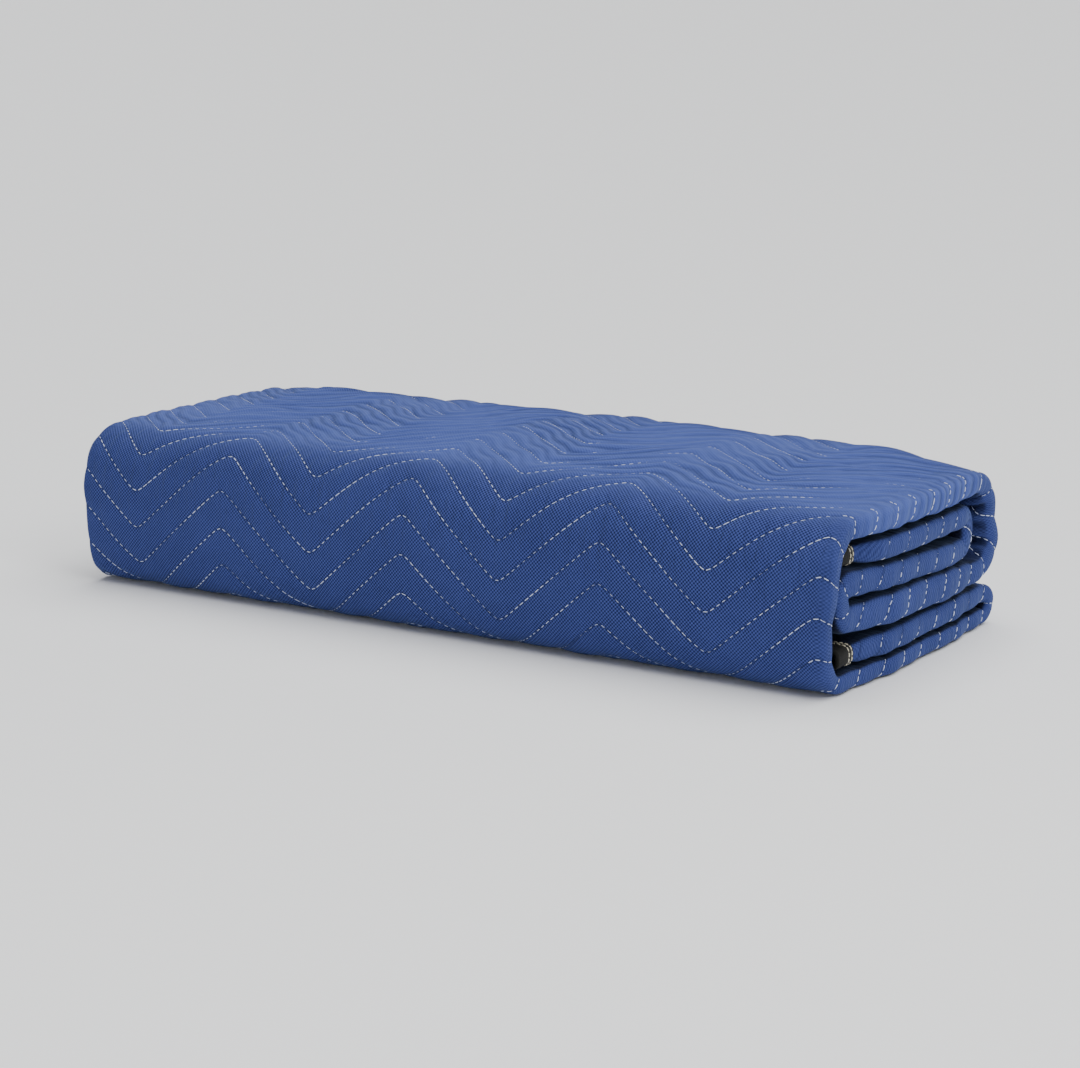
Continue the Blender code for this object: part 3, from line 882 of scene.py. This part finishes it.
def tape_profile():
    """Section round a cloth edge: distance into the cloth, and distance from its middle."""
    inside = BOUND_CLOTH / 2 + AIR_GAP
    outside = inside + BINDING_SKIN
    turn_steps = np.radians(np.arange(-90, 91, 30))
    front = -AIR_GAP - BINDING_SKIN + outside
    outer = [(BINDING_REACH, outside), (BINDING_REACH * 0.5, outside * TAPE_BULGE)]
    outer += [(front - outside * np.cos(a) * TAPE_NOSE, -outside * np.sin(a)) for a in turn_steps]
    outer += [(BINDING_REACH * 0.5, -outside * TAPE_BULGE), (BINDING_REACH, -outside)]
    inner = [(BINDING_REACH, -inside), (-AIR_GAP, -inside), (-AIR_GAP, inside), (BINDING_REACH, inside)]
    return outer + inner


def make_tape(name, place, keys_along):
    """A closed tape through sections; place gives the points for a depth and an offset."""
    profile = tape_profile()
    columns = [place(depth, offset) for depth, offset in profile]
    corners = np.stack(columns, axis=1)
    count, ring = corners.shape[0], corners.shape[1]
    flat_places = [(key, depth) for key in keys_along for depth, _ in profile]
    polygons = []
    for row in range(count - 1):
        for step in range(ring):
            after = (step + 1) % ring
            low, high = row * ring, (row + 1) * ring
            polygons.append((low + step, low + after, high + after, high + step))
    polygons.append(tuple(range(ring)))
    polygons.append(tuple(range((count - 1) * ring, count * ring))[::-1])
    return build_mesh(name, corners.reshape(-1, 3) + shift, polygons, {"flat_cloth": flat_places})


def stitch_rows(place, rows, side):
    """Start, end and up of stitches along a tape, at each depth in rows."""
    found = []
    outside = BOUND_CLOTH / 2 + AIR_GAP + BINDING_SKIN + TAPE_THREAD_LIFT
    for depth in rows:
        points = place(depth, side * outside)
        up = place(depth, side * (outside + A_LITTLE)) - points
        length = np.concatenate([[0], np.cumsum(np.linalg.norm(np.diff(points, axis=0), axis=1))])
        marks = np.arange(FIRST_TAPE_STITCH, length[-1] - TAPE_STITCH, TAPE_STITCH + TAPE_GAP)
        for mark in marks:
            ends_at = [np.array([np.interp(m, length, points[:, axis]) for axis in range(3)])
                       for m in (mark, mark + TAPE_STITCH)]
            upward = np.array([np.interp(mark, length, up[:, axis]) for axis in range(3)])
            found.append((ends_at[0], ends_at[1], upward))
    return found


def front_place(at_start):
    """Points of a tape that follows the fold in thirds."""
    station = FRONT_STATIONS

    def place(depth, offset):
        v = np.full_like(station, depth if at_start else path_end - depth)
        return cloth_points(station, v, np.full_like(station, offset))

    edge_v = np.full_like(station, 0.0 if at_start else path_end)
    return place, fold_in_thirds(station, edge_v)[4]


def inner_place(at_left):
    """Points of a tape that follows a flap's free edge through the layers."""
    ends_v = BINDING_REACH + AIR_GAP
    rows_from = ends_v + TAPE_ROW_SPARE
    rows_to = path_end - ends_v - TAPE_ROW_SPARE
    v = np.array([ends_v, *(v for v in inner_v if rows_from < v < rows_to), path_end - ends_v])
    station = np.full_like(v, 5.0 if at_left else 0.0)

    def place(depth, offset):
        return cloth_points(station, v, np.full_like(v, offset), depth if at_left else -depth)

    return place, v


tapes = {
    "binding_front_upper": front_place(True),
    "binding_front_lower": front_place(False),
    "binding_inner_right": inner_place(False),
    "binding_inner_left": inner_place(True),
}

TAPE_BLACK = (0.0015, 0.0015, 0.0015, 1)
TAPE_GREY = (0.012, 0.012, 0.010, 1)
RIB_LENGTH = 0.0014
RIB_WIDTH = 0.0011
RIB_HEIGHT = 0.00015
tape = Finish("black_tape")
tape_uv = tape.node("ShaderNodeUVMap", {"uv_map": "flat_cloth"})[0]
tape_along, tape_across, _ = tape.node("ShaderNodeSeparateXYZ", None, {0: tape_uv})
ribs = (tape_along * (turn / RIB_LENGTH)).join("SINE") * (tape_across * (turn / RIB_WIDTH)).join("SINE")
ribs = ribs * 0.5 + 0.5
lint = noise(tape, tape_uv, 350.0, 4.0)
tape_colour = blend_colours(tape, ribs * 0.55 + lint * 0.4, TAPE_BLACK, TAPE_GREY)
tape_finish = tape.surface(**{
    "Base Color": tape_colour,
    "Roughness": lint * 0.2 + 0.65,
    "Normal": bump(tape, 0.6, 1.0, ribs * RIB_HEIGHT),
    "Sheen Weight": 0.04,
    "Specular IOR Level": 0.15,
})
cream_finish = thread_finish("cream_thread", (0.80, 0.76, 0.62, 1), (0.46, 0.42, 0.30, 1))
for node, (place, keys_along) in tapes.items():
    band = make_tape(node.replace("binding", "tape"), place, keys_along)
    band.data.materials.append(tape_finish)
    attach(band, "root")
    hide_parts(node)
    found = stitch_rows(place, TAPE_ROWS, 1) + stitch_rows(place, TAPE_ROWS, -1)
    corners, polygons = sew(*(np.array(column) for column in zip(*found)), TAPE_THREAD_RADIUS)
    seam = build_mesh(node.replace("binding", "tape_stitches"), corners + shift, polygons)
    seam.data.materials.append(cream_finish)
    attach(seam, "root")


# The blanket lies on a plain pale studio floor that curves up into a wall far behind it, all
# round. The light is soft: a broad one overhead, and weak panels from the right and front.
FLOOR_RADIUS = 2.2
COVE_RADIUS = 9.0
FLOOR_STEPS = 72
FLOOR_GAP = 0.0004
floor_profile = [(0.5, 0.0), (FLOOR_RADIUS, 0.0)]
for degrees in range(4, 45, 4):
    swing = np.radians(degrees)
    climb = COVE_RADIUS * (1 - np.cos(swing))
    floor_profile.append((FLOOR_RADIUS + COVE_RADIUS * np.sin(swing), climb))
floor_points = [(0.0, 0.0, 0.0)]
for radius, climb in floor_profile:
    for step in range(FLOOR_STEPS):
        swing = turn * step / FLOOR_STEPS
        floor_points.append((radius * np.cos(swing), radius * np.sin(swing), climb))
floor_faces = [(0, 1 + step, 1 + (step + 1) % FLOOR_STEPS) for step in range(FLOOR_STEPS)]
for ring in range(len(floor_profile) - 1):
    for step in range(FLOOR_STEPS):
        low, after = 1 + ring * FLOOR_STEPS, (step + 1) % FLOOR_STEPS
        high = low + FLOOR_STEPS
        floor_faces.append((low + step, high + step, high + after, low + after))
floor_mesh = bpy.data.meshes.new("floor")
floor_mesh.from_pydata(floor_points, [], floor_faces)
floor_mesh.shade_smooth()
floor = bpy.data.objects.new("floor", floor_mesh)
bpy.context.scene.collection.objects.link(floor)
floor.location.z = -FLOOR_GAP
paper = Finish("floor_paper")
grain = noise(paper, paper.node("ShaderNodeTexCoord")[3], 40.0, 3.0)
paper_colour = blend_colours(paper, grain * 0.2, (0.90, 0.905, 0.91, 1), (0.84, 0.845, 0.85, 1))
floor_mesh.materials.append(paper.surface(**{"Base Color": paper_colour, "Roughness": 0.85}))

overhead = bpy.data.lights.new("overhead_light", "SUN")
overhead.energy = 3.4
overhead.angle = 1.25
ceiling = bpy.data.objects.new("overhead_light", overhead)
ceiling.rotation_euler = (np.radians(-14), np.radians(5), 0)
bpy.context.scene.collection.objects.link(ceiling)

PANELS = [
    ("right_panel", (2.2, -0.9, 1.9), (1.2, 1.0), 28),
    ("front_panel", (0.3, -3.0, 1.2), (2.0, 1.2), 5),
]
for name, place, size, power in PANELS:
    light = bpy.data.lights.new(name, "AREA")
    light.shape = "RECTANGLE"
    light.size, light.size_y = size
    light.energy = power
    panel = bpy.data.objects.new(name, light)
    panel.location = place
    panel.rotation_euler = (Vector((0, 0, 0.05)) - Vector(place)).to_track_quat("-Z", "Y").to_euler()
    bpy.context.scene.collection.objects.link(panel)

world = bpy.data.worlds.new("studio")
world.use_nodes = True
world.node_tree.nodes["Background"].inputs["Color"].default_value = (0.95, 0.97, 1.0, 1)
world.node_tree.nodes["Background"].inputs["Strength"].default_value = 0.22
bpy.context.scene.world = world

CAMERA_PLACE = (1.066, -1.623, 0.472)
CAMERA_AIM = (0.012, 0.0, 0.054)
lens = bpy.data.cameras.new("camera")
lens.lens = 85
camera = bpy.data.objects.new("camera", lens)
camera.location = CAMERA_PLACE
camera.rotation_euler = (Vector(CAMERA_AIM) - Vector(CAMERA_PLACE)).to_track_quat("-Z", "Y").to_euler()
bpy.context.scene.collection.objects.link(camera)
bpy.context.scene.camera = camera
